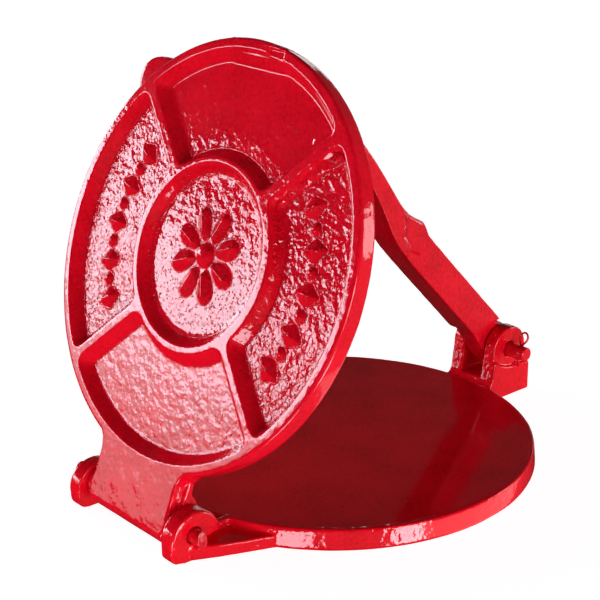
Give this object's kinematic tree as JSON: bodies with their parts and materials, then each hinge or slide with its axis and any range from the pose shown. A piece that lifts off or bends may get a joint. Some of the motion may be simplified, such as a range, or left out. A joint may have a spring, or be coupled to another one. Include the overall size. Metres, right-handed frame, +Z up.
{
  "type": "tortilla press",
  "caption": "Hinged cast-iron press in red enamel: a round upper plate closes on a round base plate, and a lever opposite the hinge swings over to squeeze dough flat.",
  "frame": {"origin": "centre of the base plate's underside, on the surface that the press stands on", "axes": "+Z up out of the base plate, +Y from the centre towards the lever's clevis, so that the plate hinge lies on the -Y side; +X along both hinge axes, towards the lever pin's cotter"},
  "size_m": [0.192, 0.2471, 0.2028],
  "materials": {
    "base_enamel": "gloss",
    "upper_enamel": "gloss",
    "lever_enamel": "gloss",
    "pin_enamel": "gloss"
  },
  "bodies": {
    "base": {"base_plate": "base_enamel", "hinge_pin": "pin_enamel", "hinge_cotter_pin": "pin_enamel", "lever_pin": "pin_enamel", "lever_cotter_pin": "pin_enamel"},
    "upper": {"upper_plate": "upper_enamel"},
    "lever": {"press_lever": "lever_enamel"}
  },
  "joints": [
    {"name": "plate_hinge", "type": "hinge", "parent": "base", "child": "upper", "pos_m": [0, -0.1109, 0.0111], "axis": [1, 0, 0], "range_deg": [-67.9, 22]},
    {"name": "lever_pivot", "type": "hinge", "parent": "base", "child": "lever", "pos_m": [0, 0.1096, 0.0271], "axis": [1, 0, 0], "range_deg": [-132.5, 43]}
  ],
  "couplings": [
    {"joint": "lever_pivot", "follows": "plate_hinge", "ratio": 1.95}
  ]
}
